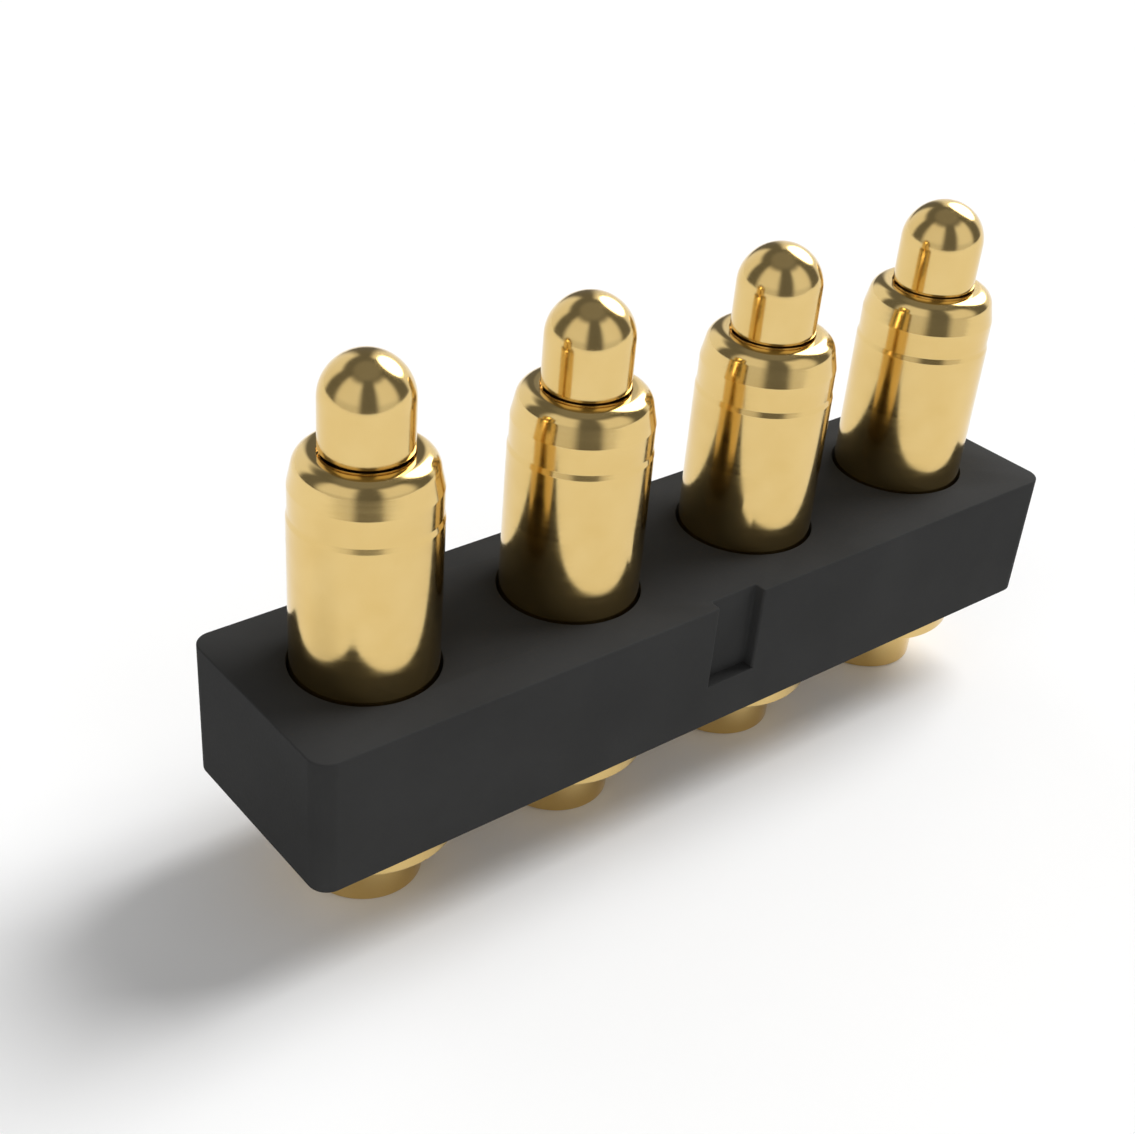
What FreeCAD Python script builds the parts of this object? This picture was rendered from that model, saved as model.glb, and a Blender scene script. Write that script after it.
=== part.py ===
"""A row of spring-loaded contact pins pressed through a moulded plastic housing.

Each pin is a turned brass barrel with a solder tail, a flange that stops it under the housing, a barbed
land that grips the plastic and a mouth that is crimped inwards. A coil spring in the barrel's blind bore
pushes a round-tipped plunger up until its collar meets the crimp.

The row runs along X, the pins point along +Z, and the origin is on the board under the middle of the row.
All sizes are in millimetres.
"""
import FreeCAD, Part
import Sketcher
import math
import os

SIZES = [
    ("pin_count", 4, "pins in the row"),
    ("pitch", 2.54, "from one pin's axis to the next"),
    ("end_margin", 1.27, "housing beyond the axis of each end pin"),
    ("housing_width", 2.44, "front to back"),
    ("housing_height", 1.55, "underside to top face"),
    ("housing_corner_radius", 0.21, "upright corners"),
    ("notch_width", 0.63, "index notch in the front, along the row"),
    ("notch_depth", 0.14, "index notch, from the front face inwards"),
    ("notch_height", 1.01, "index notch, from the top face down"),
    ("notch_offset", 0.1, "middle of the index notch, right of the row's middle"),
    ("hole_clearance", 0.025, "round each barrel where it leaves the housing"),
    ("tail_diameter", 1.24, "solder tail"),
    ("tail_length", 0.67, "board to the flange's underside"),
    ("flange_overhang", 0.245, "flange beyond the barrel's side"),
    ("flange_thickness", 0.39, "flange under the housing"),
    ("land_step", 0.06, "collar and barbs beyond the barrel's side"),
    ("land_collar", 0.3, "plain collar above the flange"),
    ("barb_pitch", 0.25, "from one barb's shoulder to the next"),
    ("barb_crest", 0.05, "straight edge at the top of a barb's slope"),
    ("barrel_wall", 0.2, "barrel wall round the bore"),
    ("barrel_straight", 1.64, "housing's top face to the step"),
    ("step_rise", 0.06, "height of the sloped step"),
    ("step_depth", 0.013, "neck inside the barrel's side"),
    ("neck_length", 0.27, "step to the start of the crimp"),
    ("crimp_height", 0.34, "start of the crimp to the top of the rolled mouth"),
    ("crimp_angle", 12, "slope of the crimped wall, in degrees"),
    ("roll_radius", 0.18, "rounded mouth"),
    ("lip_depth", 0.16, "top of the mouth to the start of the stop cone"),
    ("bore_floor", 0.33, "flange's underside to the flat floor of the bore"),
    ("drill_diameter", 0.6, "drill point below the bore's floor"),
    ("drill_angle", 118, "drill point, in degrees"),
    ("plunger_diameter", 0.9, "stem and round tip"),
    ("plunger_reach", 0.96, "barrel's mouth to the tip of the plunger"),
    ("collar_step", 0.07, "collar beyond the stem's side"),
    ("collar_length", 1.2, "collar that guides the plunger in the bore"),
    ("mouth_clearance", 0.02, "round the stem in the barrel's mouth"),
    ("bore_clearance", 0.02, "round the collar in the bore"),
    ("stop_clearance", 0.02, "collar to the stop cone with the pin at rest"),
    ("pilot_length", 0.25, "nose of the plunger inside the spring"),
    ("pilot_clearance", 0.08, "round the nose inside the spring"),
    ("spring_wire", 0.12, "wire diameter"),
    ("spring_clearance", 0.06, "round the spring in the bore"),
    ("spring_turns", 5, "open turns between the closed ends"),
    ("end_coil_gap", 0.01, "between the closed end coil and the next turn"),
]

# Sizes worked out from the sheet, as formulas of the document.
HOUSING_LENGTH = "((Sizes.pin_count - 1) * Sizes.pitch + 2 * Sizes.end_margin)"
HOUSING_BASE = "(Sizes.tail_length + Sizes.flange_thickness)"
HOUSING_TOP = f"({HOUSING_BASE} + Sizes.housing_height)"
STEP_TOP = f"({HOUSING_TOP} + Sizes.barrel_straight + Sizes.step_rise)"
CRIMP_START = f"({STEP_TOP} + Sizes.neck_length)"
BARREL_TOP = f"({CRIMP_START} + Sizes.crimp_height)"
BORE_FLOOR = "(Sizes.tail_length + Sizes.bore_floor)"

STEM_RADIUS = "(Sizes.plunger_diameter / 2)"
COLLAR_RADIUS = f"({STEM_RADIUS} + Sizes.collar_step)"
MOUTH_RADIUS = f"({STEM_RADIUS} + Sizes.mouth_clearance)"
BORE_RADIUS = f"({COLLAR_RADIUS} + Sizes.bore_clearance)"
BARREL_RADIUS = f"({BORE_RADIUS} + Sizes.barrel_wall)"
NECK_RADIUS = f"({BARREL_RADIUS} - Sizes.step_depth)"
LAND_RADIUS = f"({BARREL_RADIUS} + Sizes.land_step)"
FLANGE_RADIUS = f"({BARREL_RADIUS} + Sizes.flange_overhang)"
HOLE_RADIUS = f"({BARREL_RADIUS} + Sizes.hole_clearance)"
TAIL_RADIUS = "(Sizes.tail_diameter / 2)"
DRILL_RADIUS = "(Sizes.drill_diameter / 2)"

LAND_LENGTH = "(Sizes.land_collar + 2 * Sizes.barb_pitch)"
STOP_TOP = f"({BARREL_TOP} - Sizes.lip_depth)"
STOP_EDGE = f"({STOP_TOP} - ({BORE_RADIUS} - {MOUTH_RADIUS}))"
PLUNGER_BASE = f"({STOP_EDGE} - Sizes.stop_clearance - Sizes.collar_length)"
PLUNGER_TIP = f"({BARREL_TOP} + Sizes.plunger_reach - {PLUNGER_BASE})"

SPRING_LENGTH = f"({PLUNGER_BASE} - {BORE_FLOOR})"
WIRE_RADIUS = "(Sizes.spring_wire / 2)"
COIL_RADIUS = f"({BORE_RADIUS} - Sizes.spring_clearance - {WIRE_RADIUS})"
END_COIL = "(Sizes.spring_wire + Sizes.end_coil_gap)"
PILOT_RADIUS = f"({COIL_RADIUS} - {WIRE_RADIUS} - Sizes.pilot_clearance)"

# A sketch's own origin, as the pair of numbers that a constraint takes.
ORIGIN_POINT = (-1, 1)


def make_sheet(document):
    """The driving sizes, one row each: name, value and meaning."""
    sheet = document.addObject("Spreadsheet::Sheet", "Sizes")
    for row, (name, value, meaning) in enumerate(SIZES, start=1):
        sheet.set(f"A{row}", name)
        sheet.set(f"B{row}", str(value))
        sheet.set(f"C{row}", meaning)
        sheet.setAlias(f"B{row}", name)
    document.recompute()
    return sheet


def new_body(document, label, along_row="0", height="0"):
    """An empty body whose place is bound to the sizes."""
    body = document.addObject("PartDesign::Body", label)
    body.Label = label
    body.setExpression("Placement.Base.x", along_row)
    body.setExpression("Placement.Base.z", height)
    return body


def new_sketch(body, name, role, height=None):
    """A sketch on one of the body's own origin planes, raised by a formula if one is given."""
    plane = next(item for item in body.Origin.OriginFeatures if item.Role == role)
    sketch = body.newObject("Sketcher::SketchObject", name)
    sketch.AttachmentSupport = [(plane, "")]
    sketch.MapMode = "FlatFace"
    if height:
        sketch.setExpression("AttachmentOffset.Base.z", height)
    return sketch


def bind(sketch, constraint, formula):
    """Adds a constraint with a size and ties the size to a formula."""
    index = sketch.addConstraint(constraint)
    sketch.setExpression(f"Constraints[{index}]", formula)


def place(sketch, line, end, across, up):
    """Fixes one end of a line by two formulas, measured from the sketch's origin."""
    if across == "0":
        sketch.addConstraint(Sketcher.Constraint("Vertical", *ORIGIN_POINT, line, end))
    else:
        value = sketch.evalExpression(across)
        bind(sketch, Sketcher.Constraint("DistanceX", *ORIGIN_POINT, line, end, value), across)
    value = sketch.evalExpression(up)
    bind(sketch, Sketcher.Constraint("DistanceY", *ORIGIN_POINT, line, end, value), up)


def point(sketch, corner):
    across, up = (sketch.evalExpression(formula) for formula in corner)
    return FreeCAD.Vector(across, up, 0)


def chain(sketch, corners):
    """Joined straight lines through corners that are pairs of formulas. Returns the lines' numbers."""
    lines = []
    for start, end in zip(corners, corners[1:]):
        line = sketch.addGeometry(Part.LineSegment(point(sketch, start), point(sketch, end)))
        if lines:
            sketch.addConstraint(Sketcher.Constraint("Coincident", lines[-1], 2, line, 1))
        place(sketch, line, 1, *start)
        lines.append(line)
    return lines


def closed_outline(sketch, corners):
    """A closed outline of straight lines."""
    lines = chain(sketch, corners + corners[:1])
    sketch.addConstraint(Sketcher.Constraint("Coincident", lines[-1], 2, lines[0], 1))


def revolve(body, kind, name, sketch):
    """Turns a sketch all the way round the pin's axis, as a Revolution or a Groove."""
    feature = body.newObject(f"PartDesign::{kind}", name)
    feature.Profile = sketch
    feature.ReferenceAxis = (sketch, ["V_Axis"])
    feature.Angle = 360
    return feature


def round_hole(sketch, across, radius):
    """A circle centred on the sketch's own level axis."""
    centre = FreeCAD.Vector(sketch.evalExpression(across), 0, 0)
    circle = sketch.addGeometry(Part.Circle(centre, FreeCAD.Vector(0, 0, 1), sketch.evalExpression(radius)))
    place(sketch, circle, 3, across, "0")
    bind(sketch, Sketcher.Constraint("Radius", circle, sketch.evalExpression(radius)), radius)


def make_housing(document):
    """The moulded block: rounded upright corners, stepped press holes and an index notch."""
    body = new_body(document, "housing", height=HOUSING_BASE)
    half_length = f"{HOUSING_LENGTH} / 2"
    front = "-Sizes.housing_width / 2"
    outline = new_sketch(body, "HousingOutline", "XY_Plane")
    closed_outline(outline, [
        (f"-{half_length}", front),
        (half_length, front),
        (half_length, "Sizes.housing_width / 2"),
        (f"-{half_length}", "Sizes.housing_width / 2"),
    ])
    block = body.newObject("PartDesign::Pad", "HousingBlock")
    block.Profile = outline
    block.setExpression("Length", "Sizes.housing_height")
    document.recompute()

    corners = body.newObject("PartDesign::Fillet", "UprightCorners")
    upright = [
        f"Edge{number}"
        for number, edge in enumerate(block.Shape.Edges, start=1)
        if edge.BoundBox.ZLength > edge.BoundBox.DiagonalLength / 2
    ]
    corners.Base = (block, upright)
    corners.setExpression("Radius", "Sizes.housing_corner_radius")
    document.recompute()

    notch_outline = new_sketch(body, "NotchOutline", "XY_Plane", "Sizes.housing_height")
    left = "Sizes.notch_offset - Sizes.notch_width / 2"
    right = "Sizes.notch_offset + Sizes.notch_width / 2"
    closed_outline(notch_outline, [
        (left, f"{front} - Sizes.notch_depth"),
        (right, f"{front} - Sizes.notch_depth"),
        (right, f"{front} + Sizes.notch_depth"),
        (left, f"{front} + Sizes.notch_depth"),
    ])
    notch = body.newObject("PartDesign::Pocket", "IndexNotch")
    notch.Profile = notch_outline
    notch.setExpression("Length", "Sizes.notch_height")

    first_pin = "(1 - Sizes.pin_count) / 2 * Sizes.pitch"
    press_circle = new_sketch(body, "PressCircle", "XY_Plane")
    round_hole(press_circle, first_pin, LAND_RADIUS)
    press_hole = body.newObject("PartDesign::Pocket", "PressHole")
    press_hole.Profile = press_circle
    press_hole.Reversed = True
    press_hole.setExpression("Length", LAND_LENGTH)
    exit_circle = new_sketch(body, "ExitCircle", "XY_Plane")
    round_hole(exit_circle, first_pin, HOLE_RADIUS)
    exit_hole = body.newObject("PartDesign::Pocket", "ExitHole")
    exit_hole.Profile = exit_circle
    exit_hole.Reversed = True
    exit_hole.Type = "ThroughAll"
    document.recompute()

    row = body.newObject("PartDesign::LinearPattern", "PinHoles")
    row.Originals = [press_hole, exit_hole]
    row.Direction = (press_circle, ["H_Axis"])
    row.Mode = "Spacing"
    row.setExpression("Offset", "Sizes.pitch")
    row.setExpression("Occurrences", "Sizes.pin_count")
    body.Tip = row
    return body


def barrel_outside(body):
    """The turned outside, from the board up: tail, flange, collar, barbs, barrel, step, neck, crimp."""
    sketch = new_sketch(body, "TurnedOutline", "XZ_Plane")
    corners = [
        ("0", "0"),
        (TAIL_RADIUS, "0"),
        (TAIL_RADIUS, "Sizes.tail_length"),
        (FLANGE_RADIUS, "Sizes.tail_length"),
        (FLANGE_RADIUS, HOUSING_BASE),
        (LAND_RADIUS, HOUSING_BASE),
        (LAND_RADIUS, f"{HOUSING_BASE} + Sizes.land_collar"),
    ]
    for barb in range(2):
        shoulder = f"{HOUSING_BASE} + Sizes.land_collar + {barb} * Sizes.barb_pitch"
        crest = f"{shoulder} + Sizes.barb_pitch / 2"
        corners += [
            (BARREL_RADIUS, shoulder),
            (BARREL_RADIUS, crest),
            (LAND_RADIUS, crest),
            (LAND_RADIUS, f"{crest} + Sizes.barb_crest"),
        ]
    corners += [
        (BARREL_RADIUS, f"{HOUSING_BASE} + {LAND_LENGTH}"),
        (BARREL_RADIUS, f"{HOUSING_TOP} + Sizes.barrel_straight"),
        (NECK_RADIUS, STEP_TOP),
        (NECK_RADIUS, CRIMP_START),
    ]
    lines = chain(sketch, corners)

    rolled_mouth(sketch, lines, corners[-1])
    revolve(body, "Revolution", "TurnedBarrel", sketch)


def rolled_mouth(sketch, lines, crimp_foot):
    """Closes the barrel's outline: the crimped wall leans in and runs smoothly into the rolled mouth."""
    foot = point(sketch, crimp_foot)
    mouth = point(sketch, (MOUTH_RADIUS, BARREL_TOP))
    radius = sketch.evalExpression("Sizes.roll_radius")
    centre = FreeCAD.Vector(foot.x - radius, mouth.y - radius, 0)

    wall = sketch.addGeometry(Part.LineSegment(foot, FreeCAD.Vector(foot.x, centre.y, 0)))
    sketch.addConstraint(Sketcher.Constraint("Coincident", lines[-1], 2, wall, 1))
    place(sketch, wall, 1, *crimp_foot)
    slope = "90 + Sizes.crimp_angle"
    lean = math.radians(sketch.evalExpression(slope))
    bind(sketch, Sketcher.Constraint("Angle", wall, lean), f"({slope}) * 1 deg")

    circle = Part.Circle(centre, FreeCAD.Vector(0, 0, 1), radius)
    roll = sketch.addGeometry(Part.ArcOfCircle(circle, 0, math.radians(90)))
    sketch.addConstraint(Sketcher.Constraint("Tangent", wall, 2, roll, 1))
    bind(sketch, Sketcher.Constraint("Radius", roll, radius), "Sizes.roll_radius")
    centre_up = f"{BARREL_TOP} - Sizes.roll_radius"
    bind(sketch, Sketcher.Constraint("DistanceY", *ORIGIN_POINT, roll, 3, centre.y), centre_up)
    bind(sketch, Sketcher.Constraint("DistanceX", *ORIGIN_POINT, roll, 2, mouth.x), MOUTH_RADIUS)

    lid = sketch.addGeometry(Part.LineSegment(mouth, FreeCAD.Vector(0, mouth.y, 0)))
    sketch.addConstraint(Sketcher.Constraint("Coincident", roll, 2, lid, 1))
    sketch.addConstraint(Sketcher.Constraint("Horizontal", lid))
    sketch.addConstraint(Sketcher.Constraint("Vertical", *ORIGIN_POINT, lid, 2))
    close_on_axis(sketch, lid, lines[0], mouth.y)


def close_on_axis(sketch, last, first, height):
    """Joins the last edge back to the first line's start, down the pin's axis."""
    start = point(sketch, ("0", "0"))
    axis = sketch.addGeometry(Part.LineSegment(FreeCAD.Vector(0, height, 0), start))
    sketch.addConstraint(Sketcher.Constraint("Coincident", last, 2, axis, 1))
    sketch.addConstraint(Sketcher.Constraint("Coincident", axis, 2, first, 1))


def make_barrel(document, number):
    """One turned barrel with its blind bore, drill point and stop cone under the crimped lip."""
    body = new_body(document, f"barrel_{number}", along_row=pin_place(number))
    barrel_outside(body)
    bore_outline = new_sketch(body, "BoreOutline", "XZ_Plane")
    drill_tip = f"{BORE_FLOOR} - {DRILL_RADIUS} / tan(Sizes.drill_angle / 2 * 1 deg)"
    closed_outline(bore_outline, [
        ("0", drill_tip),
        (DRILL_RADIUS, BORE_FLOOR),
        (BORE_RADIUS, BORE_FLOOR),
        (BORE_RADIUS, STOP_EDGE),
        (MOUTH_RADIUS, STOP_TOP),
        (MOUTH_RADIUS, f"{BARREL_TOP} + Sizes.roll_radius"),
        ("0", f"{BARREL_TOP} + Sizes.roll_radius"),
    ])
    revolve(body, "Groove", "BlindBore", bore_outline)
    return body


def make_plunger(document, number):
    """One plunger: pilot nose, guiding collar with its stop cone, stem and round tip."""
    body = new_body(document, f"plunger_{number}", pin_place(number), PLUNGER_BASE)
    outline = new_sketch(body, "PlungerOutline", "XZ_Plane")
    tip_centre = f"{PLUNGER_TIP} - {STEM_RADIUS}"
    corners = [
        ("0", "-Sizes.pilot_length"),
        (PILOT_RADIUS, "-Sizes.pilot_length"),
        (PILOT_RADIUS, "0"),
        (COLLAR_RADIUS, "0"),
        (COLLAR_RADIUS, "Sizes.collar_length"),
        (STEM_RADIUS, "Sizes.collar_length + Sizes.collar_step"),
        (STEM_RADIUS, tip_centre),
    ]
    lines = chain(outline, corners)
    stem_top = point(outline, corners[-1])
    circle = Part.Circle(FreeCAD.Vector(0, stem_top.y, 0), FreeCAD.Vector(0, 0, 1), stem_top.x)
    tip = outline.addGeometry(Part.ArcOfCircle(circle, 0, math.radians(90)))
    outline.addConstraint(Sketcher.Constraint("Tangent", lines[-1], 2, tip, 1))
    place(outline, lines[-1], 2, *corners[-1])
    outline.addConstraint(Sketcher.Constraint("Vertical", *ORIGIN_POINT, tip, 3))
    outline.addConstraint(Sketcher.Constraint("Vertical", *ORIGIN_POINT, tip, 2))
    close_on_axis(outline, tip, lines[0], stem_top.y + stem_top.x)
    revolve(body, "Revolution", "TurnedPlunger", outline)
    return body


def coil_length(body, name, start, rise, turns, turns_before="0"):
    """One stretch of the wire, wound from a height up by a rise, and begun where the turns before it end.

    The wire's section is a hexagon inside the round one, which keeps a hidden piece's faces few and plain.
    """
    wire = new_sketch(body, f"{name}Wire", "XZ_Plane")
    # One degree only gives the rotation its axis; the formula sets the angle.
    about_pin = FreeCAD.Rotation(FreeCAD.Vector(0, 1, 0), 1)
    wire.AttachmentOffset = FreeCAD.Placement(FreeCAD.Vector(), about_pin)
    wire.setExpression("AttachmentOffset.Rotation.Angle", f"{turns_before} * 360 deg")
    corners = []
    for angle in range(0, 360, 60):
        across = f"{COIL_RADIUS} + {WIRE_RADIUS} * cos({angle} deg)"
        up = f"{start} + {WIRE_RADIUS} * sin({angle} deg)"
        corners.append((across, up))
    closed_outline(wire, corners)
    coil = body.newObject("PartDesign::AdditiveHelix", name)
    coil.Profile = wire
    coil.ReferenceAxis = (wire, ["V_Axis"])
    coil.Mode = "height-turns-angle"
    coil.setExpression("Height", rise)
    coil.setExpression("Turns", turns)
    return coil


def ground_end(body, name, height, upwards):
    """Cuts an end coil off flat at a height."""
    wheel = new_sketch(body, f"{name}Wheel", "XY_Plane", height)
    round_hole(wheel, "0", f"{COIL_RADIUS} + Sizes.spring_wire")
    cut = body.newObject("PartDesign::Pocket", name)
    cut.Profile = wheel
    cut.Reversed = upwards
    cut.setExpression("Length", "Sizes.spring_wire")


def make_spring(document, number):
    """One compression spring with closed, ground ends, from the bore's floor to the plunger's collar."""
    body = new_body(document, f"spring_{number}", pin_place(number), BORE_FLOOR)
    open_rise = f"{SPRING_LENGTH} - 2 * {END_COIL}"
    coil_length(body, "LowerEndCoil", "0", END_COIL, "1")
    coil_length(body, "OpenCoils", END_COIL, open_rise, "Sizes.spring_turns")
    coil_length(body, "UpperEndCoil", f"{SPRING_LENGTH} - {END_COIL}", END_COIL, "1", "Sizes.spring_turns")
    ground_end(body, "LowerGroundEnd", "0", upwards=False)
    ground_end(body, "UpperGroundEnd", SPRING_LENGTH, upwards=True)
    return body


def pin_place(number):
    """Where a pin stands along the row, counted from the left."""
    return f"({number} - (Sizes.pin_count + 1) / 2) * Sizes.pitch"


def check(document, bodies):
    """Stops if any object failed or any sub-part isn't one sound solid."""
    for item in document.Objects:
        if {"Invalid", "Error"} & set(item.State):
            raise RuntimeError(f"{item.Label} failed: {item.State}")
    for body in bodies:
        shape = body.Shape
        if shape.isNull() or not shape.isValid() or len(shape.Solids) != 1 or shape.Volume <= 0:
            raise RuntimeError(f"{body.Label} isn't one sound solid")


def main():
    document = FreeCAD.newDocument("SpringContactRow")
    sheet = make_sheet(document)
    bodies = [make_housing(document)]
    for number in range(1, int(sheet.pin_count) + 1):
        bodies.append(make_barrel(document, number))
        bodies.append(make_spring(document, number))
        bodies.append(make_plunger(document, number))
    document.recompute()
    check(document, bodies)
    os.makedirs("parts", exist_ok=True)
    for body in bodies:
        body.Shape.exportStep(f"parts/{body.Label}.step")
        print(f"{body.Label}: {body.Shape.Volume:.4f} mm3")


main()
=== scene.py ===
"""Dresses a row of spring-loaded contact pins in a moulded housing, and sets the studio round it.

The row runs along X, the pins point up and the origin is on the floor under the middle of the row. Shapes are
worked out in millimetres and written to the meshes in metres. Lengths in the settings are metres, apart from
the camera's lens.
"""
import bmesh
import bpy
import math
from mathutils import Euler, Matrix, Vector


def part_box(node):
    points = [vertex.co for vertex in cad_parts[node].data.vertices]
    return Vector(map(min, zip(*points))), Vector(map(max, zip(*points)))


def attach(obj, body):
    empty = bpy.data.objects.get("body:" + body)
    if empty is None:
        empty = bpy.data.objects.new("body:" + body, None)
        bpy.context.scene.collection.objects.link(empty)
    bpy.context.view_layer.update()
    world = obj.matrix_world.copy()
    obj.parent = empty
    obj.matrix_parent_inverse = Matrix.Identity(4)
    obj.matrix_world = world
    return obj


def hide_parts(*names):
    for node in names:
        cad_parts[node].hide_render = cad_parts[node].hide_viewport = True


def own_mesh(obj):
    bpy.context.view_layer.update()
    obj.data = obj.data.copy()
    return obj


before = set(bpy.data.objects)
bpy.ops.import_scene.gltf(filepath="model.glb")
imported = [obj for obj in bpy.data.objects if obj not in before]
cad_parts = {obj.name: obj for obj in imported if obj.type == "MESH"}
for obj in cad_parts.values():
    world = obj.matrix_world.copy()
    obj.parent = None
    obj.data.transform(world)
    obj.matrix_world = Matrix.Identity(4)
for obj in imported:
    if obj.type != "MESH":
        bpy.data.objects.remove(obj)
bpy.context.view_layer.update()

bl_info = {
    "name": "Spring contact row",
    "version": (1, 0, 0),
    "blender": (4, 5, 0),
    "location": "3D View > Sidebar > Contact row",
    "description": "Builds the pins, springs and housing of a contact row and the studio round them",
    "category": "Object",
}

MM = 0.001
BARREL_NODES = [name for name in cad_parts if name.startswith("barrel_")]
PIN_NUMBERS = sorted(int(name.rsplit("_", 1)[1]) for name in BARREL_NODES)


def pin_axis(number):
    """Where a pin stands along the row, in metres."""
    low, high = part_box(f"barrel_{number}")
    return (low.x + high.x) / 2


def node_box_mm(node):
    low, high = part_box(node)
    return low / MM, high / MM


HOUSING_LOW, HOUSING_HIGH = node_box_mm("housing")
BARREL_TOP = node_box_mm("barrel_1")[1].z

TAIL_RADIUS = 0.62
TAIL_LENGTH = 0.67
FLANGE_RADIUS = 0.985
FLANGE_TOP = 1.06
LAND_RADIUS = 0.80
LAND_TOP = 1.36
BARREL_RADIUS = 0.74
STEP_FOOT = 4.25
STEP_TOP = 4.31
NECK_RADIUS = 0.727
CRIMP_FOOT = 4.58
# Each barb of the land: height of its foot, of the end of its upright part and of the end of its slope.
BARBS = [(1.485, 1.535, 1.61), (1.735, 1.785, 1.86)]


def barb_corners(foot, upright, slope, last_rounding):
    """The four corners of one barb."""
    return [
        (BARREL_RADIUS, foot, 0.005),
        (LAND_RADIUS, foot, 0.008),
        (LAND_RADIUS, upright, 0.008),
        (BARREL_RADIUS, slope, last_rounding),
    ]


# Turned outline of a barrel from the board up to the crimp: radius, height and the rounding of each corner.
BARREL_SIDE = [
    (0.0, 0.0, 0.0),
    (TAIL_RADIUS, 0.0, 0.03),
    (TAIL_RADIUS, TAIL_LENGTH, 0.015),
    (FLANGE_RADIUS, TAIL_LENGTH, 0.02),
    (FLANGE_RADIUS, FLANGE_TOP, 0.02),
    (LAND_RADIUS, FLANGE_TOP, 0.01),
    (LAND_RADIUS, LAND_TOP, 0.008),
    (BARREL_RADIUS, LAND_TOP, 0.005),
    *barb_corners(*BARBS[0], 0.005),
    *barb_corners(*BARBS[1], 0.01),
    (BARREL_RADIUS, STEP_FOOT, 0.012),
    (NECK_RADIUS, STEP_TOP, 0.012),
    (NECK_RADIUS, CRIMP_FOOT, 0.04),
]
# Rolled mouth: an arc that leaves the crimped wall at its slope and ends level, at the barrel's top.
CRIMP_SLOPE = 12.0
ROLL_RADIUS = 0.18
ROLL_MIDDLE = 0.5089
ROLL_STEPS = 24
MOUTH_RADIUS = 0.456
STOP_TOP = 4.76
STOP_FOOT = 4.69
BORE_RADIUS = 0.54
BORE_FLOOR = 1.0
DRILL_RADIUS = 0.30
DRILL_POINT = 0.82
# Bore from the mouth's edge past the stop cone down to the drill point.
BARREL_BORE = [
    (MOUTH_RADIUS, BARREL_TOP, 0.003),
    (MOUTH_RADIUS, STOP_TOP, 0.01),
    (BORE_RADIUS, STOP_FOOT, 0.01),
    (BORE_RADIUS, BORE_FLOOR, 0.01),
    (DRILL_RADIUS, BORE_FLOOR, 0.01),
    (0.0, DRILL_POINT, 0.0),
]

NOSE_RADIUS = 0.28
NOSE_FOOT = 3.22
COLLAR_RADIUS = 0.52
COLLAR_FOOT = 3.47
COLLAR_TOP = 4.67
STEM_FOOT = 4.74
STEM_RADIUS = 0.45
GROOVE_RADIUS = 0.43
GROOVE_FOOT = 4.82
GROOVE_TOP = 4.953
# Turned outline of a plunger, from the pilot nose up to where the round tip starts. A shallow groove in the
# stem reaches just past the barrel's mouth and shows there as a fine dark line.
PLUNGER_SIDE = [
    (0.0, NOSE_FOOT, 0.0),
    (NOSE_RADIUS, NOSE_FOOT, 0.03),
    (NOSE_RADIUS, COLLAR_FOOT, 0.01),
    (COLLAR_RADIUS, COLLAR_FOOT, 0.02),
    (COLLAR_RADIUS, COLLAR_TOP, 0.015),
    (STEM_RADIUS, STEM_FOOT, 0.01),
    (STEM_RADIUS, GROOVE_FOOT, 0.003),
    (GROOVE_RADIUS, GROOVE_FOOT, 0.003),
    (GROOVE_RADIUS, GROOVE_TOP, 0.003),
    (STEM_RADIUS, GROOVE_TOP, 0.004),
]
TIP_CENTRE = 5.43
TIP_STEPS = 32

SPRING_FLOOR = BORE_FLOOR
SPRING_TOP = COLLAR_FOOT
SPRING_RADIUS = 0.42
WIRE_RADIUS = 0.06
END_COIL_RISE = 0.13
OPEN_TURNS = 5

NOTCH_LEFT = -0.215
NOTCH_RIGHT = 0.415
NOTCH_BACK = -1.08
NOTCH_FLOOR = 1.60
NOTCH_ROUNDING = 0.03
CORNER_RADIUS = 0.21
CORNER_STEPS = 10
# A hole's radius round the land and above it, and the height of the step between them.
PRESS_HOLE = LAND_RADIUS
EXIT_HOLE = 0.765
HOLE_STEP = BARBS[-1][-1]
HOLE_SEGMENTS = 96
# Rounding of a hole's rims as a share of the housing's edge, and how far the rounding's middle point lies in.
RIM_SHARE = 0.5
RIM_INSET = 0.3
EDGE_STEPS = 4
# Edges of the housing that turn by more than this stay crisp.
CRISP_ANGLE = math.radians(40)
# A point nearer to a turning axis than this lies on it.
ON_AXIS = 1e-6


# Meshes.

def soften(corners, turn_step=math.radians(15)):
    """Outline points with each corner rounded by its own radius."""
    points = [Vector(corners[0][:2])]
    for before, here, after in zip(corners, corners[1:], corners[2:]):
        corner = Vector(here[:2])
        into = (corner - Vector(before[:2])).normalized()
        out = (Vector(after[:2]) - corner).normalized()
        turn = math.atan2(into.x * out.y - into.y * out.x, into.dot(out))
        rounding = here[2]
        if rounding == 0.0:
            points.append(corner)
            continue
        start = corner - into * rounding * math.tan(abs(turn) / 2)
        side = math.copysign(1.0, turn)
        centre = start + Vector((-into.y, into.x)) * rounding * side
        steps = max(2, math.ceil(abs(turn) / turn_step))
        for step in range(steps + 1):
            points.append(centre + Matrix.Rotation(turn * step / steps, 2) @ (start - centre))
    points.append(Vector(corners[-1][:2]))
    return points


def hold_edges(points, margin=0.006):
    """Adds a point near each end of the longer straight lines, so that shading bends only at corners."""
    held = [points[0]]
    for start, end in zip(points, points[1:]):
        length = (end - start).length
        if length > 4 * margin:
            step = (end - start) * (margin / length)
            held += [start + step, end - step]
        held.append(end)
    return held


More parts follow.
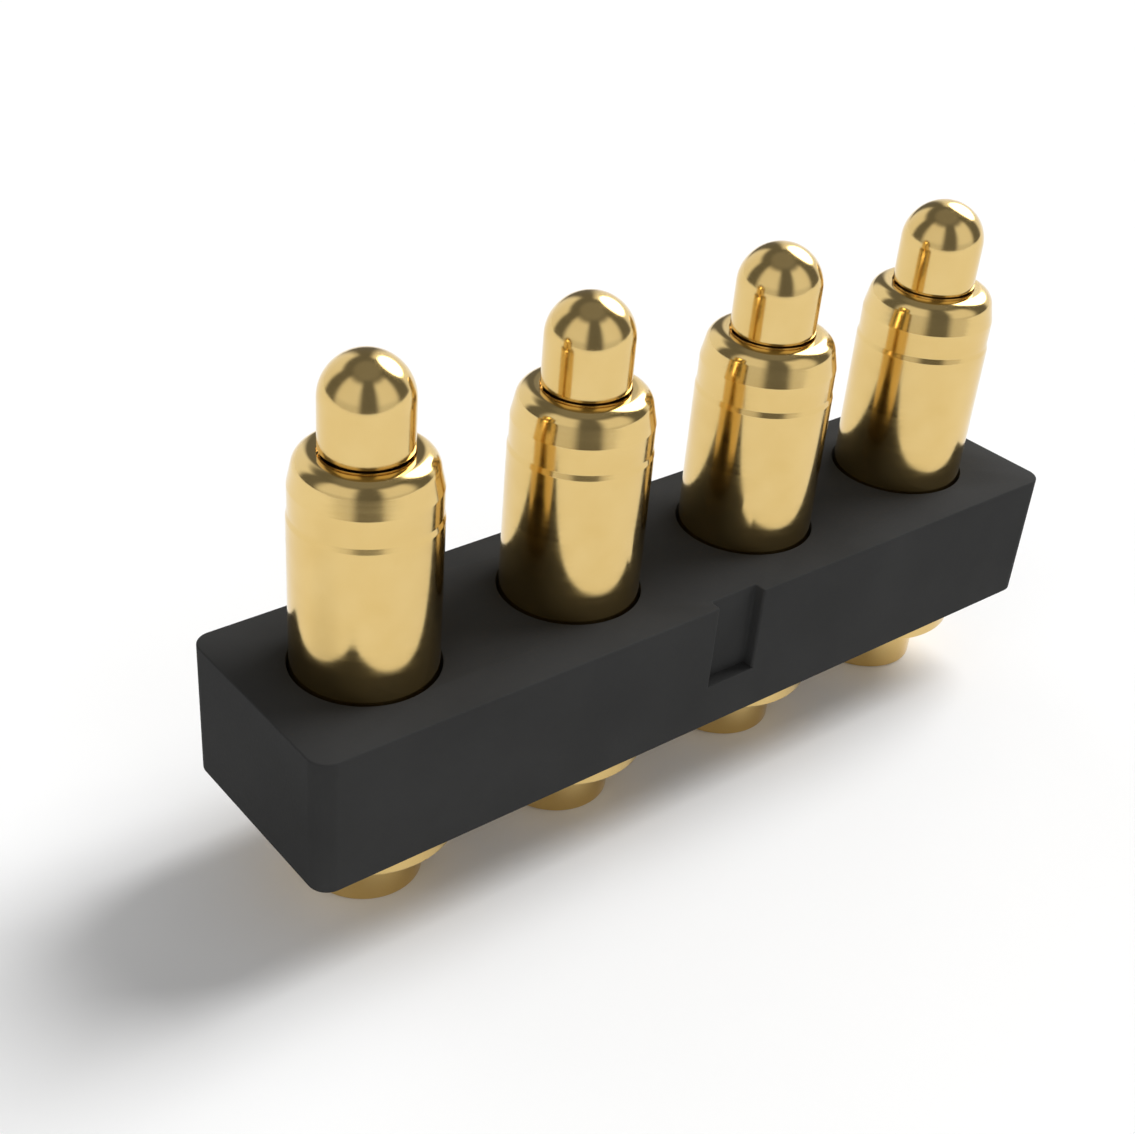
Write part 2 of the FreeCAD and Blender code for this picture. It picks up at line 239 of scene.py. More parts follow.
def circle(bm, radius, height, segments, across=0.0):
    """A ring of points round an upright axis."""
    ring = []
    for segment in range(segments):
        angle = math.tau * segment / segments
        ring.append(bm.verts.new((across + radius * math.cos(angle), radius * math.sin(angle), height)))
    return ring


def turned_mesh(name, points, segments):
    """Turns an outline in millimetres round the upright axis into one closed mesh in metres."""
    mesh = bpy.data.meshes.new(name)
    bm = bmesh.new()
    rings = []
    for point in points:
        if point.x < ON_AXIS:
            rings.append([bm.verts.new((0, 0, point.y * MM))])
        else:
            rings.append(circle(bm, point.x * MM, point.y * MM, segments))
    for lower, upper in zip(rings, rings[1:]):
        for segment in range(segments):
            following = (segment + 1) % segments
            if len(lower) == 1:
                bm.faces.new((lower[0], upper[following], upper[segment]))
            elif len(upper) == 1:
                bm.faces.new((lower[segment], lower[following], upper[0]))
            else:
                bm.faces.new((lower[segment], lower[following], upper[following], upper[segment]))
    finish_mesh(bm, mesh)
    return mesh


def finish_mesh(bm, mesh):
    bmesh.ops.recalc_face_normals(bm, faces=bm.faces)
    for face in bm.faces:
        face.smooth = True
    bm.to_mesh(mesh)
    bm.free()


def arc_points(centre, radius, first, last, steps):
    """Points of an arc between two angles in degrees."""
    points = []
    for step in range(steps + 1):
        angle = math.radians(first + (last - first) * step / steps)
        points.append(Vector((centre[0] + radius * math.cos(angle), centre[1] + radius * math.sin(angle))))
    return points


def barrel_outline():
    middle = (ROLL_MIDDLE, BARREL_TOP - ROLL_RADIUS)
    roll = arc_points(middle, ROLL_RADIUS, CRIMP_SLOPE, 90.0, ROLL_STEPS)
    side = soften(BARREL_SIDE + [(roll[0].x, roll[0].y, 0.0)])
    bore = soften([(roll[-1].x, roll[-1].y, 0.0)] + BARREL_BORE)
    return hold_edges(side[:-1] + roll + bore[1:])


def plunger_outline():
    side = soften(PLUNGER_SIDE + [(STEM_RADIUS, TIP_CENTRE, 0.0)])
    tip = arc_points((0.0, TIP_CENTRE), STEM_RADIUS, 0.0, 90.0, TIP_STEPS)
    tip[-1].x = 0.0
    return hold_edges(side[:-1] + tip)


def spring_mesh(name, turn_steps=40, sides=12):
    """A coil with one closed turn at each end, ground flat at its foot and its top."""
    length = SPRING_TOP - SPRING_FLOOR
    turns = OPEN_TURNS + 2
    pitch = (length - 2 * END_COIL_RISE) / OPEN_TURNS
    mesh = bpy.data.meshes.new(name)
    bm = bmesh.new()
    rings = []
    for step in range(turns * turn_steps + 1):
        turn = step / turn_steps
        if turn < 1:
            rise = END_COIL_RISE * turn
        elif turn < turns - 1:
            rise = END_COIL_RISE + pitch * (turn - 1)
        else:
            rise = length - END_COIL_RISE * (turns - turn)
        angle = math.tau * turn
        ring = []
        for side in range(sides):
            around = math.tau * side / sides
            radius = (SPRING_RADIUS + WIRE_RADIUS * math.cos(around)) * MM
            height = SPRING_FLOOR + rise + WIRE_RADIUS * math.sin(around)
            height = min(max(height, SPRING_FLOOR), SPRING_TOP) * MM
            ring.append(bm.verts.new((radius * math.cos(angle), radius * math.sin(angle), height)))
        rings.append(ring)
    for first, second in zip(rings, rings[1:]):
        for side in range(sides):
            following = (side + 1) % sides
            bm.faces.new((first[side], first[following], second[following], second[side]))
    bm.faces.new(rings[0][::-1])
    bm.faces.new(rings[-1])
    finish_mesh(bm, mesh)
    return mesh


def rounded_corner(corner, into, out, radius, steps=6):
    """Points of one rounded corner of the housing, each as an arc's middle, a direction and a radius.

    The radius is positive on an outer corner and negative on an inner one, so that taking an inset off it
    moves the point into the plastic either way.
    """
    corner, into, out = Vector(corner), Vector(into), Vector(out)
    outer = into.x * out.y - into.y * out.x > 0
    side = 1.0 if outer else -1.0
    start = corner - into * radius
    centre = start + Vector((-into.y, into.x)) * radius * side
    first = (start - centre).normalized()
    points = []
    for step in range(steps + 1):
        direction = Matrix.Rotation(side * math.pi / 2 * step / steps, 2) @ first
        points.append((centre, direction * side, radius * side))
    return points


def housing_rings():
    """The housing's outline from above, the points inside the notch, and the notch's first and last point."""
    right, left, back, forth = Vector((1, 0)), Vector((-1, 0)), Vector((0, 1)), Vector((0, -1))
    low, high = HOUSING_LOW, HOUSING_HIGH
    outline = rounded_corner((low.x, low.y), forth, right, CORNER_RADIUS, CORNER_STEPS)
    notch_start = len(outline)
    outline += rounded_corner((NOTCH_LEFT, low.y), right, back, NOTCH_ROUNDING)
    outline += rounded_corner((NOTCH_LEFT, NOTCH_BACK), back, right, NOTCH_ROUNDING)
    outline += rounded_corner((NOTCH_RIGHT, NOTCH_BACK), right, forth, NOTCH_ROUNDING)
    outline += rounded_corner((NOTCH_RIGHT, low.y), forth, right, NOTCH_ROUNDING)
    notch_end = len(outline) - 1
    outline += rounded_corner((high.x, low.y), right, back, CORNER_RADIUS, CORNER_STEPS)
    outline += rounded_corner((high.x, high.y), back, left, CORNER_RADIUS, CORNER_STEPS)
    outline += rounded_corner((low.x, high.y), left, forth, CORNER_RADIUS, CORNER_STEPS)
    inside = set(range(notch_start + 1, notch_end))
    return outline, inside, notch_start, notch_end


def ring_at(bm, outline, inset, height):
    ring = []
    for centre, direction, radius in outline:
        place = centre + direction * (radius - inset)
        ring.append(bm.verts.new((place.x, place.y, height)))
    return ring


def join_rings(bm, lower, upper):
    for index in range(len(lower)):
        following = (index + 1) % len(lower)
        bm.faces.new((lower[index], lower[following], upper[following], upper[index]))


def ring_edges(bm, ring):
    edges = []
    for index, vert in enumerate(ring):
        pair = (vert, ring[(index + 1) % len(ring)])
        edges.append(bm.edges.get(pair) or bm.edges.new(pair))
    return edges


def hole_rings(bm, across, edge):
    """The stepped hole of one pin, from the top face down. Returns its rings at the top and bottom face."""
    bottom, top = HOUSING_LOW.z, HOUSING_HIGH.z
    inset = edge * RIM_INSET
    steps = [
        (EXIT_HOLE + edge, top),
        (EXIT_HOLE + inset, top - inset),
        (EXIT_HOLE, top - edge),
        (EXIT_HOLE, HOLE_STEP),
        (PRESS_HOLE, HOLE_STEP),
        (PRESS_HOLE, bottom + edge),
        (PRESS_HOLE + inset, bottom + inset),
        (PRESS_HOLE + edge, bottom),
    ]
    rings = [circle(bm, radius, height, HOLE_SEGMENTS, across) for radius, height in steps]
    for upper, lower in zip(rings, rings[1:]):
        join_rings(bm, upper, lower)
    return rings[0], rings[-1]


def housing_mesh(name, edge):
    """The moulded block with rounded edges, stepped holes and the index notch, as one closed mesh."""
    bm = bmesh.new()
    outline, inside, notch_start, notch_end = housing_rings()
    plain = [point for index, point in enumerate(outline) if index not in inside]
    bottom, top = HOUSING_LOW.z, HOUSING_HIGH.z
    arc = [math.pi / 2 * step / EDGE_STEPS for step in range(EDGE_STEPS + 1)]
    falls = [(edge * (1 - math.cos(angle)), edge * (1 - math.sin(angle))) for angle in arc]

    upper_rings = [ring_at(bm, outline, 0.0, NOTCH_FLOOR)]
    for inset, fall in falls:
        upper_rings.append(ring_at(bm, outline, inset, top - fall))
    for lower, upper in zip(upper_rings, upper_rings[1:]):
        join_rings(bm, lower, upper)

    shared = [vert for index, vert in enumerate(upper_rings[0]) if index not in inside]
    lower_rings = [shared]
    for inset, fall in falls:
        lower_rings.append(ring_at(bm, plain, inset, bottom + fall))
    for upper, lower in zip(lower_rings, lower_rings[1:]):
        join_rings(bm, upper, lower)
    bm.faces.new(upper_rings[0][notch_start:notch_end + 1])

    holes = [hole_rings(bm, pin_axis(number) / MM, edge * RIM_SHARE) for number in PIN_NUMBERS]
    for outer, which in ((upper_rings[-1], 0), (lower_rings[-1], 1)):
        edges = ring_edges(bm, outer)
        for hole in holes:
            edges += ring_edges(bm, hole[which])
        bmesh.ops.triangle_fill(bm, edges=edges, use_beauty=True)

    for vert in bm.verts:
        vert.co *= MM
    mesh = bpy.data.meshes.new(name)
    finish_mesh(bm, mesh)
    mesh.set_sharp_from_angle(angle=CRISP_ANGLE)
    return mesh


# Materials.

# Scales are in waves for each metre. A pair of patches holds the noise values between which a tone changes. A
# pair of gloss values holds shares of the roughness, or for the plastic what is added to it, from glossy to
# dull.
LATHE_MARKS = (500, 500, 24000)
PLATING_CLOUDS = 1800.0
PLATING_PATCHES = (0.35, 0.7)
DEEPER_PLATING = (0.95, 0.92, 0.84)
PLATING_GLOSS = (0.75, 1.3)
MOULD_GRAIN = 26000.0
FLOW_CLOUDS = 700.0
FLOW_PATCHES = (0.35, 0.65)
PALER_FLOW = 1.10
DARKER_FLOW = 0.94
PLASTIC_GLOSS = (-0.06, 0.08)
PLASTIC_SHEEN = 0.01
# Where most of the sum of two noises lies.
TWO_NOISES = (0.7, 1.3)
WIRE_LINES = (900, 900, 60000)
WIRE_LINE_VALUES = (0.3, 0.7)
WIRE_CLOUDS = 4000.0
WIRE_PATCHES = (0.35, 0.65)
DARKER_WIRE = 0.75
WIRE_GLOSS = (0.8, 1.3)
WIRE_LINE_HEIGHT = 0.0005 * MM


def add_node(tree, kind, inputs=None, **settings):
    """Adds a node, with values or other nodes' outputs on its inputs."""
    item = tree.nodes.new(kind)
    for key, value in settings.items():
        setattr(item, key, value)
    for key, value in (inputs or {}).items():
        if isinstance(value, bpy.types.NodeSocket):
            tree.links.new(value, item.inputs[key])
        else:
            item.inputs[key].default_value = value
    return item


def new_material(name):
    material = bpy.data.materials.new(name)
    material.use_nodes = True
    tree = material.node_tree
    shader = tree.nodes["Principled BSDF"]
    return material, tree, shader


def noise(tree, vector, scale, detail, roughness=0.5):
    settings = {"Vector": vector, "Scale": scale, "Detail": detail, "Roughness": roughness}
    return add_node(tree, "ShaderNodeTexNoise", settings).outputs["Fac"]


def spread(tree, value, low, high, start, end, smooth=False):
    """Maps a value from one range to another."""
    settings = {"Value": value, "From Min": low, "From Max": high, "To Min": start, "To Max": end}
    kind = "SMOOTHSTEP" if smooth else "LINEAR"
    return add_node(tree, "ShaderNodeMapRange", settings, interpolation_type=kind).outputs["Result"]


def blend_colours(tree, share, first, second):
    mix = add_node(tree, "ShaderNodeMix", data_type="RGBA")
    tree.links.new(share, mix.inputs[0])
    mix.inputs[6].default_value = (*first, 1)
    mix.inputs[7].default_value = (*second, 1)
    return mix.outputs[2]


def turned_coordinates(tree):
    """Object coordinates in which a lathe's marks run round the pin, on its side, faces and round tip."""
    place = add_node(tree, "ShaderNodeTexCoord").outputs["Object"]
    parts = add_node(tree, "ShaderNodeSeparateXYZ", {"Vector": place})
    flat = add_node(tree, "ShaderNodeVectorMath", {0: place, 1: (1, 1, 0)}, operation="MULTIPLY")
    radius = add_node(tree, "ShaderNodeVectorMath", {0: flat.outputs[0]}, operation="LENGTH")
    height_and_radius = {0: parts.outputs["Z"], 1: radius.outputs["Value"]}
    along = add_node(tree, "ShaderNodeMath", height_and_radius, operation="SUBTRACT")
    turned = {"X": parts.outputs["X"], "Y": parts.outputs["Y"], "Z": along.outputs[0]}
    joined = add_node(tree, "ShaderNodeCombineXYZ", turned).outputs[0]
    return place, joined


def bump_normal(tree, height, distance):
    settings = {"Height": height, "Distance": distance, "Strength": 1.0}
    return add_node(tree, "ShaderNodeBump", settings).outputs[0]


def plated_material(name, colour, roughness, mark_height):
    """Bright plating over turned brass: faint lathe marks, and a tone and gloss that vary a little."""
    material, tree, shader = new_material(name)
    place, turned = turned_coordinates(tree)
    stretched = add_node(tree, "ShaderNodeVectorMath", {0: turned, 1: LATHE_MARKS}, operation="MULTIPLY")
    marks = noise(tree, stretched.outputs[0], scale=1.0, detail=3.0)
    cloud = noise(tree, place, scale=PLATING_CLOUDS, detail=3.0)
    deeper = [part * share for part, share in zip(colour, DEEPER_PLATING)]
    tone = blend_colours(tree, spread(tree, cloud, *PLATING_PATCHES, 0.0, 1.0), colour, deeper)
    tree.links.new(tone, shader.inputs["Base Color"])
    shader.inputs["Metallic"].default_value = 1.0
    gloss = add_node(tree, "ShaderNodeMath", {0: marks, 1: cloud}, operation="ADD").outputs[0]
    glossy, dull = (roughness * share for share in PLATING_GLOSS)
    dullness = spread(tree, gloss, *TWO_NOISES, glossy, dull)
    tree.links.new(dullness, shader.inputs["Roughness"])
    tree.links.new(bump_normal(tree, marks, mark_height), shader.inputs["Normal"])
    return material


def plastic_material(name, colour, roughness, grain_height):
    """Black filled moulding: a fine spark-eroded grain, faint flow clouds and a dull sheen."""
    material, tree, shader = new_material(name)
    place = add_node(tree, "ShaderNodeTexCoord").outputs["Object"]
    grain = noise(tree, place, scale=MOULD_GRAIN, detail=2.0, roughness=0.6)
    cloud = noise(tree, place, scale=FLOW_CLOUDS, detail=4.0)
    paler = [part * PALER_FLOW for part in colour]
    darker = [part * DARKER_FLOW for part in colour]
    tone = blend_colours(tree, spread(tree, cloud, *FLOW_PATCHES, 0.0, 1.0), darker, paler)
    tree.links.new(tone, shader.inputs["Base Color"])
    shader.inputs["Specular IOR Level"].default_value = PLASTIC_SHEEN
    mixed = add_node(tree, "ShaderNodeMath", {0: grain, 1: cloud}, operation="ADD").outputs[0]
    glossy, dull = (roughness + change for change in PLASTIC_GLOSS)
    dullness = spread(tree, mixed, *TWO_NOISES, glossy, dull)
    tree.links.new(dullness, shader.inputs["Roughness"])
    tree.links.new(bump_normal(tree, grain, grain_height), shader.inputs["Normal"])
    return material


def spring_material(name, colour, roughness):
    """Drawn spring wire: fine lines along the wire and a patchy grey."""
    material, tree, shader = new_material(name)
    place, turned = turned_coordinates(tree)
    stretched = add_node(tree, "ShaderNodeVectorMath", {0: turned, 1: WIRE_LINES}, operation="MULTIPLY")
    lines = noise(tree, stretched.outputs[0], scale=1.0, detail=4.0)
    cloud = noise(tree, place, scale=WIRE_CLOUDS, detail=3.0)
    darker = [part * DARKER_WIRE for part in colour]
    tone = blend_colours(tree, spread(tree, cloud, *WIRE_PATCHES, 0.0, 1.0), colour, darker)
    tree.links.new(tone, shader.inputs["Base Color"])
    shader.inputs["Metallic"].default_value = 1.0
    glossy, dull = (roughness * share for share in WIRE_GLOSS)
    dullness = spread(tree, lines, *WIRE_LINE_VALUES, glossy, dull)
    tree.links.new(dullness, shader.inputs["Roughness"])
    tree.links.new(bump_normal(tree, lines, WIRE_LINE_HEIGHT), shader.inputs["Normal"])
    return material


def place_piece(name, mesh, material, body, node, across=0.0):
    """Puts a piece on its CAD body in place of its CAD node."""
    mesh.materials.append(material)
    piece = bpy.data.objects.new(name, mesh)
    piece.location = (across, 0, 0)
    bpy.context.scene.collection.objects.link(piece)
    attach(piece, body)
    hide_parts(node)
    return piece


# Sizes and colours that a user would change.

class HousingSettings(bpy.types.PropertyGroup):
    colour: bpy.props.FloatVectorProperty(
        name="Plastic colour", description="Colour of the moulded housing",
        subtype="COLOR", size=3, min=0, max=1, default=(0.0412, 0.0412, 0.0407),
    )
    roughness: bpy.props.FloatProperty(
        name="Roughness", description="Dullness of the moulded surface",
        subtype="FACTOR", min=0.1, max=1, default=0.55,
    )
    edge: bpy.props.FloatProperty(
        name="Edge rounding", description="Rounding of the housing's edges",
        subtype="DISTANCE", min=0.005 * MM, max=0.03 * MM, default=0.018 * MM, precision=6,
    )
    grain: bpy.props.FloatProperty(
        name="Grain height", description="Height of the moulded grain",
        subtype="DISTANCE", min=0, max=0.01 * MM, default=0.0012 * MM, precision=6,
    )


class PinSettings(bpy.types.PropertyGroup):
    colour: bpy.props.FloatVectorProperty(
        name="Plating colour", description="Colour of the plating on barrels and plungers",
        subtype="COLOR", size=3, min=0, max=1, default=(0.745, 0.545, 0.227),
    )
    roughness: bpy.props.FloatProperty(
        name="Roughness", description="Dullness of the plating",
        subtype="FACTOR", min=0.02, max=1, default=0.14,
    )
    marks: bpy.props.FloatProperty(
        name="Lathe marks", description="Height of the lathe marks under the plating",
        subtype="DISTANCE", min=0, max=0.01 * MM, default=0.00016 * MM, precision=6,
    )
    segments: bpy.props.IntProperty(
        name="Segments", description="Flat sides round each turned piece",
        min=32, max=256, default=128,
    )


class SpringSettings(bpy.types.PropertyGroup):
    colour: bpy.props.FloatVectorProperty(
        name="Wire colour", description="Colour of the spring wire",
        subtype="COLOR", size=3, min=0, max=1, default=(0.56, 0.55, 0.53),
    )
    roughness: bpy.props.FloatProperty(
        name="Roughness", description="Dullness of the wire",
        subtype="FACTOR", min=0.05, max=1, default=0.28,
    )


class StageSettings(bpy.types.PropertyGroup):
    camera_place: bpy.props.FloatVectorProperty(
        name="Camera place", description="Where the camera stands",
        subtype="TRANSLATION", unit="LENGTH", size=3, default=(-0.0109825, -0.011025, 0.0120063),
    )
    camera_turn: bpy.props.FloatVectorProperty(
        name="Camera turn", description="The camera's three angles",
        subtype="EULER", size=3,
        default=(math.radians(56.519), math.radians(-2.7396), math.radians(-36.2829)),
    )
    lens: bpy.props.FloatProperty(
        name="Lens", description="Focal length for a sensor 36 mm wide",
        subtype="DISTANCE_CAMERA", min=10, max=300, default=52.503,
    )
    shift: bpy.props.FloatVectorProperty(
        name="Lens shift", description="Sideways and upward shift of the lens, in picture widths",
        size=2, default=(0.0709, 0.0307),
    )
    key_direction: bpy.props.FloatVectorProperty(
        name="Key light direction",
        description="Compass angle from +Y towards +X, and height above the horizon",
        unit="ROTATION", size=2, default=(math.radians(92), math.radians(45.8)),
    )
    key_width: bpy.props.FloatProperty(
        name="Key light width", description="How wide the key light looks from the object",
        subtype="ANGLE", min=0, max=3, default=math.radians(35),
    )
    key_strength: bpy.props.FloatProperty(
        name="Key light strength", description="Irradiance of the key light",
        min=0, default=2.95,
    )
    floor_colour: bpy.props.FloatVectorProperty(
        name="Floor colour", description="Colour of the studio floor",
        subtype="COLOR", size=3, min=0, max=1, default=(0.915, 0.915, 0.915),
    )


SETTINGS = {
    "contact_row_housing": HousingSettings,
    "contact_row_pins": PinSettings,
    "contact_row_springs": SpringSettings,
    "contact_row_stage": StageSettings,
}


# The stage.

# Softboxes round the object: compass angle of the middle, half width, height of the top edge and half width
# of the soft edge, all in degrees, then the brightness and the share of it that is left at the foot.
SOFTBOXES = [
    (-8.0, 25.0, 42.0, 7.0, 0.97, 1.0),
    (-100.5, 29.0, 57.0, 9.0, 0.89, 0.76),
    (162.0, 24.5, 56.0, 9.0, 0.92, 0.76),
    (71.0, 28.0, 52.0, 6.0, 0.98, 1.0),
]
STUDIO_DARK = 0.165
STUDIO_CEILING = 0.26
# Sines of the heights between which the dark studio turns into the ceiling.
CEILING_START = 0.85
CEILING_FULL = 0.95
# Heights in degrees between which a softbox reaches its full brightness.
FOOT_LOW = 1
FOOT_HIGH = 12
# What the key light shows in bright metal: compass angle, height and half width in degrees, and brightness.
KEY_GLOW = (79.0, 37.0, 20.5, 6.0)
GLOW_EDGE = 2.5
# The floor: the compass angle that points away from the camera, its near and far end that way and half its
# width across it, in millimetres.
FLOOR_TURN = math.radians(38.1)
FLOOR_NEAR = -30.5
FLOOR_FAR = 260
FLOOR_HALF_WIDTH = 220
FLOOR_ROUGHNESS = 0.9
FLOOR_SHEEN = 0.1
SENSOR_WIDTH = 36
CLIP_START = 0.0005
CLIP_END = 2.0


def compass_direction(turn, rise):
    """A direction from its angle from +Y towards +X and its height above the horizon."""
    return Vector((math.sin(turn) * math.cos(rise), math.cos(turn) * math.cos(rise), math.sin(rise)))


def key_glow(tree, way, path):
    """The key light's bright round picture, for reflections alone."""
    middle, height, half, brightness = KEY_GLOW
    towards = compass_direction(math.radians(middle), math.radians(height))
    facing = add_node(tree, "ShaderNodeVectorMath", {0: way, 1: towards}, operation="DOT_PRODUCT")
    glow = spread(
        tree, facing.outputs["Value"],
        math.cos(math.radians(half + GLOW_EDGE)), math.cos(math.radians(half - GLOW_EDGE)),
        0.0, brightness, True,
    )
    glossy_only = {0: glow, 1: path.outputs["Is Glossy Ray"]}
    return add_node(tree, "ShaderNodeMath", glossy_only, operation="MULTIPLY").outputs[0]


def make_studio_light(world):
    """Softboxes in a dark studio, by direction; the camera itself sees plain white."""
    world.use_nodes = True
    tree = world.node_tree
    tree.nodes.clear()
    way = add_node(tree, "ShaderNodeTexCoord").outputs["Generated"]
    height = add_node(tree, "ShaderNodeSeparateXYZ", {"Vector": way}).outputs["Z"]
    flat = add_node(tree, "ShaderNodeVectorMath", {0: way, 1: (1, 1, 0)}, operation="MULTIPLY").outputs[0]
    compass = add_node(tree, "ShaderNodeVectorMath", {0: flat}, operation="NORMALIZE").outputs[0]
    level = spread(tree, height, CEILING_START, CEILING_FULL, STUDIO_DARK, STUDIO_CEILING, True)
    for middle, half, top, edge, brightness, foot in SOFTBOXES:
        turn = math.radians(middle)
        towards = (math.sin(turn), math.cos(turn), 0)
        facing = add_node(tree, "ShaderNodeVectorMath", {0: compass, 1: towards}, operation="DOT_PRODUCT")
        across = spread(
            tree, facing.outputs["Value"],
            math.cos(math.radians(half + edge)), math.cos(math.radians(half - edge)),
            0.0, brightness - STUDIO_DARK, True,
        )
        up = spread(
            tree, height,
            math.sin(math.radians(top - edge)), math.sin(math.radians(top + edge)),
            1.0, 0.0, True,
        )
        share = add_node(tree, "ShaderNodeMath", {0: across, 1: up}, operation="MULTIPLY").outputs[0]
        low = spread(
            tree, height,
            math.sin(math.radians(FOOT_LOW)), math.sin(math.radians(FOOT_HIGH)),
            foot, 1.0, True,
        )
        share = add_node(tree, "ShaderNodeMath", {0: share, 1: low}, operation="MULTIPLY").outputs[0]
        level = add_node(tree, "ShaderNodeMath", {0: level, 1: share}, operation="ADD").outputs[0]
    path = add_node(tree, "ShaderNodeLightPath")
    glow = key_glow(tree, way, path)
    level = add_node(tree, "ShaderNodeMath", {0: level, 1: glow}, operation="ADD").outputs[0]
    studio = add_node(tree, "ShaderNodeBackground", {"Color": (1, 1, 1, 1), "Strength": level})
    white = add_node(tree, "ShaderNodeBackground", {"Color": (1, 1, 1, 1), "Strength": 1.0})
    mix = add_node(
        tree, "ShaderNodeMixShader",
        {0: path.outputs["Is Camera Ray"], 1: studio.outputs[0], 2: white.outputs[0]},
    )
    add_node(tree, "ShaderNodeOutputWorld", {"Surface": mix.outputs[0]})


def make_floor(settings):
    """A wide pale floor that ends short on the camera's side, as the studio's does."""
    bm = bmesh.new()
    away = Vector((math.sin(FLOOR_TURN), math.cos(FLOOR_TURN), 0))
    side = Vector((away.y, -away.x, 0))
    corners = [
        (FLOOR_NEAR, -FLOOR_HALF_WIDTH),
        (FLOOR_NEAR, FLOOR_HALF_WIDTH),
        (FLOOR_FAR, FLOOR_HALF_WIDTH),
        (FLOOR_FAR, -FLOOR_HALF_WIDTH),
    ]
    bm.faces.new([bm.verts.new((away * deep + side * wide) * MM) for deep, wide in corners])
    mesh = bpy.data.meshes.new("studio_floor")
    bm.to_mesh(mesh)
    bm.free()
    material, _, shader = new_material("studio_floor")
    shader.inputs["Base Color"].default_value = (*settings.floor_colour, 1)
    shader.inputs["Roughness"].default_value = FLOOR_ROUGHNESS
    shader.inputs["Specular IOR Level"].default_value = FLOOR_SHEEN
    mesh.materials.append(material)
    floor = bpy.data.objects.new("studio_floor", mesh)
    bpy.context.scene.collection.objects.link(floor)


def make_key_light(settings):
    towards = compass_direction(*settings.key_direction)
    light = bpy.data.lights.new("key_light", "SUN")
    light.energy = settings.key_strength
    light.angle = settings.key_width
    key = bpy.data.objects.new("key_light", light)
    key.visible_glossy = False
    key.rotation_euler = towards.to_track_quat("Z", "Y").to_euler()
    bpy.context.scene.collection.objects.link(key)


def make_camera(settings):
    data = bpy.data.cameras.new("camera")
    data.sensor_width = SENSOR_WIDTH
    data.lens = settings.lens
    data.shift_x, data.shift_y = settings.shift
    data.clip_start, data.clip_end = CLIP_START, CLIP_END
    camera = bpy.data.objects.new("camera", data)
    camera.location = settings.camera_place
    camera.rotation_euler = Euler(settings.camera_turn, "XYZ")
    bpy.context.scene.collection.objects.link(camera)
    bpy.context.scene.camera = camera


# Operators.

class CONTACTROW_OT_stage(bpy.types.Operator):
    """Sets up the floor, the studio light and the camera"""
    bl_idname = "contact_row.stage"
    bl_label = "Studio stage"

    def execute(self, context):
        settings = context.scene.contact_row_stage
        context.scene.view_settings.view_transform = "Standard"
        world = bpy.data.worlds.new("studio")
        context.scene.world = world
        make_studio_light(world)
        make_floor(settings)
        make_key_light(settings)
        make_camera(settings)
        return {"FINISHED"}


class CONTACTROW_OT_housing(bpy.types.Operator):
    """Builds the moulded housing with its holes and index notch"""
    bl_idname = "contact_row.housing"
    bl_label = "Housing"

    def execute(self, context):
        settings = context.scene.contact_row_housing
        material = plastic_material("moulded_plastic", settings.colour, settings.roughness, settings.grain)
        mesh = housing_mesh("moulded_housing", settings.edge / MM)
        piece = place_piece("moulded_housing", mesh, material, "base", "housing")
        weighted = piece.modifiers.new("Flat faces stay flat", "WEIGHTED_NORMAL")
        weighted.keep_sharp = True
        return {"FINISHED"}


class CONTACTROW_OT_barrels(bpy.types.Operator):
    """Builds the turned barrels with their tails, flanges and rolled mouths"""
    bl_idname = "contact_row.barrels"
    bl_label = "Barrels"

    def execute(self, context):
        settings = context.scene.contact_row_pins
        material = plated_material("plated_barrel", settings.colour, settings.roughness, settings.marks)
        for number in PIN_NUMBERS:
            name = f"turned_barrel_{number}"
            mesh = turned_mesh(name, barrel_outline(), settings.segments)
            place_piece(name, mesh, material, "base", f"barrel_{number}", pin_axis(number))
        return {"FINISHED"}


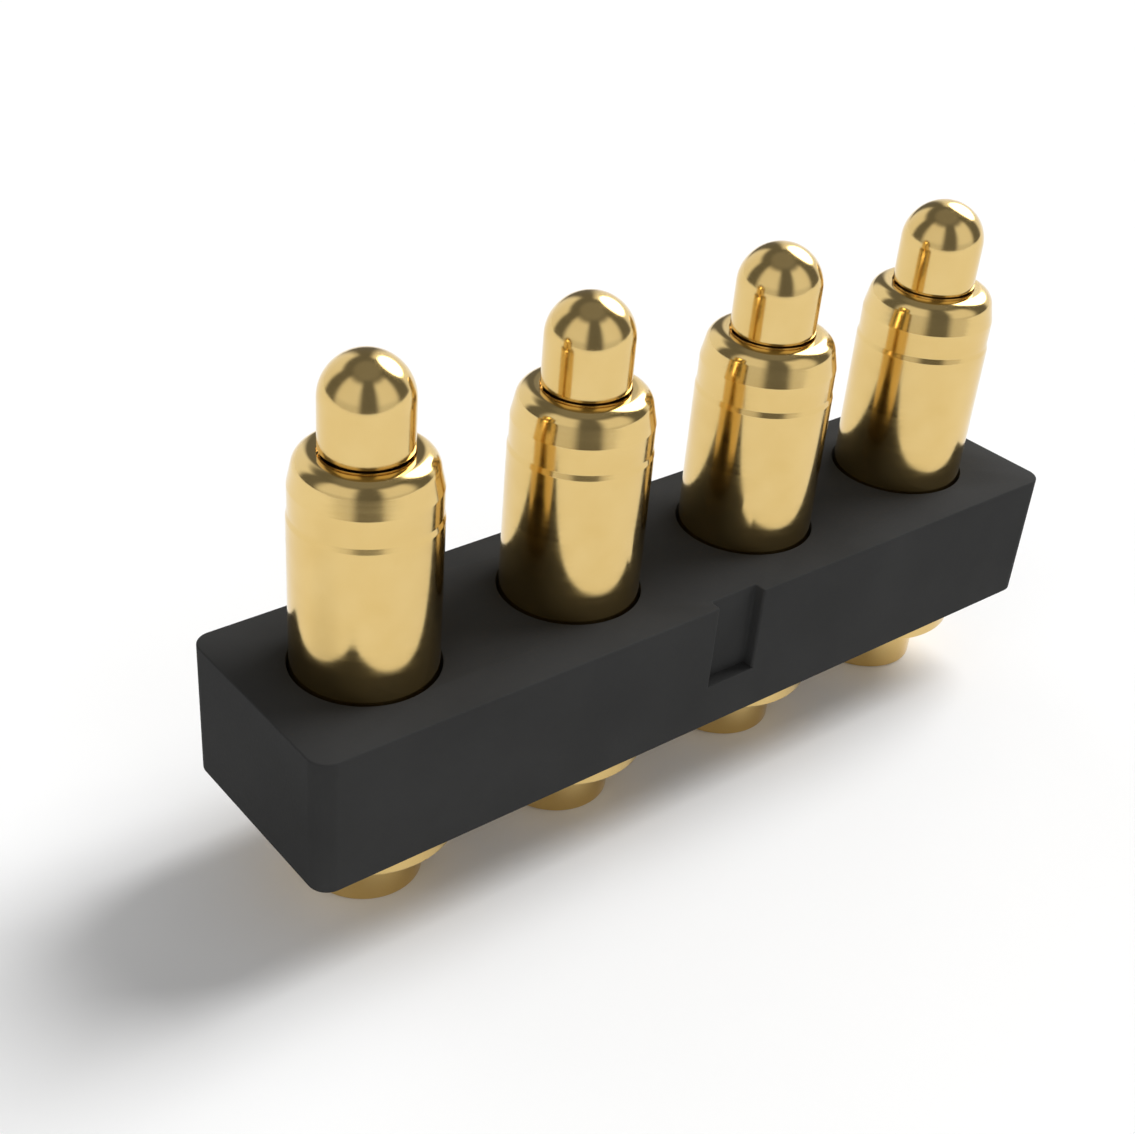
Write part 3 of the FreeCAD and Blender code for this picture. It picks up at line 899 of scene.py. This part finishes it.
class CONTACTROW_OT_plungers(bpy.types.Operator):
    """Builds the round-tipped plungers"""
    bl_idname = "contact_row.plungers"
    bl_label = "Plungers"

    def execute(self, context):
        settings = context.scene.contact_row_pins
        material = plated_material("plated_plunger", settings.colour, settings.roughness, settings.marks)
        for number in PIN_NUMBERS:
            name = f"turned_plunger_{number}"
            mesh = turned_mesh(name, plunger_outline(), settings.segments)
            body = f"plunger_{number}"
            place_piece(name, mesh, material, body, body, pin_axis(number))
        return {"FINISHED"}


class CONTACTROW_OT_springs(bpy.types.Operator):
    """Builds the coil springs inside the barrels"""
    bl_idname = "contact_row.springs"
    bl_label = "Springs"

    def execute(self, context):
        settings = context.scene.contact_row_springs
        material = spring_material("drawn_wire", settings.colour, settings.roughness)
        for number in PIN_NUMBERS:
            name = f"coil_spring_{number}"
            node = f"spring_{number}"
            across = pin_axis(number)
            piece = place_piece(name, spring_mesh(name), material, "base", node, across)
            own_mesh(piece)
        return {"FINISHED"}


OPERATORS = [
    CONTACTROW_OT_stage,
    CONTACTROW_OT_housing,
    CONTACTROW_OT_barrels,
    CONTACTROW_OT_springs,
    CONTACTROW_OT_plungers,
]


class CONTACTROW_PT_panel(bpy.types.Panel):
    """Lists the sizes, the colours and the pieces of the contact row"""
    bl_idname = "CONTACTROW_PT_panel"
    bl_label = "Contact row"
    bl_space_type = "VIEW_3D"
    bl_region_type = "UI"
    bl_category = "Contact row"

    def draw(self, context):
        for operator in OPERATORS:
            self.layout.operator(operator.bl_idname)
        for attribute, group in SETTINGS.items():
            box = self.layout.box()
            for key in group.__annotations__:
                box.prop(getattr(context.scene, attribute), key)


CLASSES = [*SETTINGS.values(), *OPERATORS, CONTACTROW_PT_panel]


def register():
    for item in CLASSES:
        bpy.utils.register_class(item)
    for attribute, group in SETTINGS.items():
        setattr(bpy.types.Scene, attribute, bpy.props.PointerProperty(type=group))


def unregister():
    for attribute in SETTINGS:
        delattr(bpy.types.Scene, attribute)
    for item in reversed(CLASSES):
        bpy.utils.unregister_class(item)


def main():
    register()
    bpy.ops.contact_row.stage()
    bpy.ops.contact_row.housing()
    bpy.ops.contact_row.barrels()
    bpy.ops.contact_row.springs()
    bpy.ops.contact_row.plungers()


if __name__ == "__main__":
    main()
